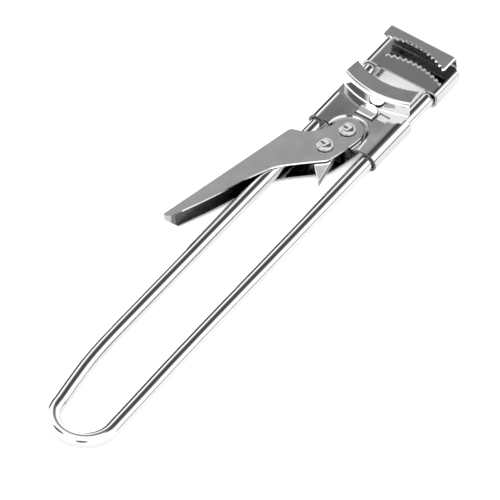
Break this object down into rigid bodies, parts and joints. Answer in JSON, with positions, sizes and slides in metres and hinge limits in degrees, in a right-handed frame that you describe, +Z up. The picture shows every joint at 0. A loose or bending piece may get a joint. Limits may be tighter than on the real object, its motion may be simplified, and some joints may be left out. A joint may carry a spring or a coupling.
{
  "type": "jar opener",
  "caption": "Adjustable lid gripper: U-bent rod handle with a toothed fixed jaw, and a sliding serrated jaw on a carriage moved and locked by a channel lever with a pawl.",
  "frame": {"origin": "middle of the bounding box in X and Y, at the height of the surface the tool lies on", "axes": "+Y along the rods towards the fixed jaw, +Z up out of the side that the jaws' flanges are on, +X away from the lever"},
  "size_m": [0.0484, 0.2343, 0.016],
  "materials": {
    "polished_rod": "mirror-polished stainless steel rod",
    "polished_sheet": "polished stainless steel sheet",
    "rivet_steel": "bright tumbled steel",
    "dull_steel": "plain steel, satin"
  },
  "bodies": {
    "frame": {"handle_frame": "polished_rod", "fixed_jaw": "polished_sheet"},
    "carriage": {"sliding_jaw": "polished_sheet", "pivot_spacer": "dull_steel", "pivot_rivet": "rivet_steel"},
    "lever": {"lever": "polished_sheet", "pawl_rivet": "rivet_steel"},
    "pawl": {"pawl": "dull_steel", "pawl_spring": "dull_steel"}
  },
  "joints": [
    {"name": "jaw_slide", "type": "slide", "parent": "frame", "child": "carriage", "axis": [0, 1, 0], "range_m": [-0.098, 0.014]},
    {"name": "lever_turn", "type": "hinge", "parent": "carriage", "child": "lever", "pos_m": [0.00694, 0.06605, 0.0053], "axis": [0, 0, 1], "range_deg": [-16, 4]},
    {"name": "pawl_turn", "type": "hinge", "parent": "lever", "child": "pawl", "pos_m": [0.00464, 0.05465, 0.0053], "axis": [0, 0, 1], "range_deg": [-6, 11], "stiffness_Nm_per_rad": 0.005}
  ]
}
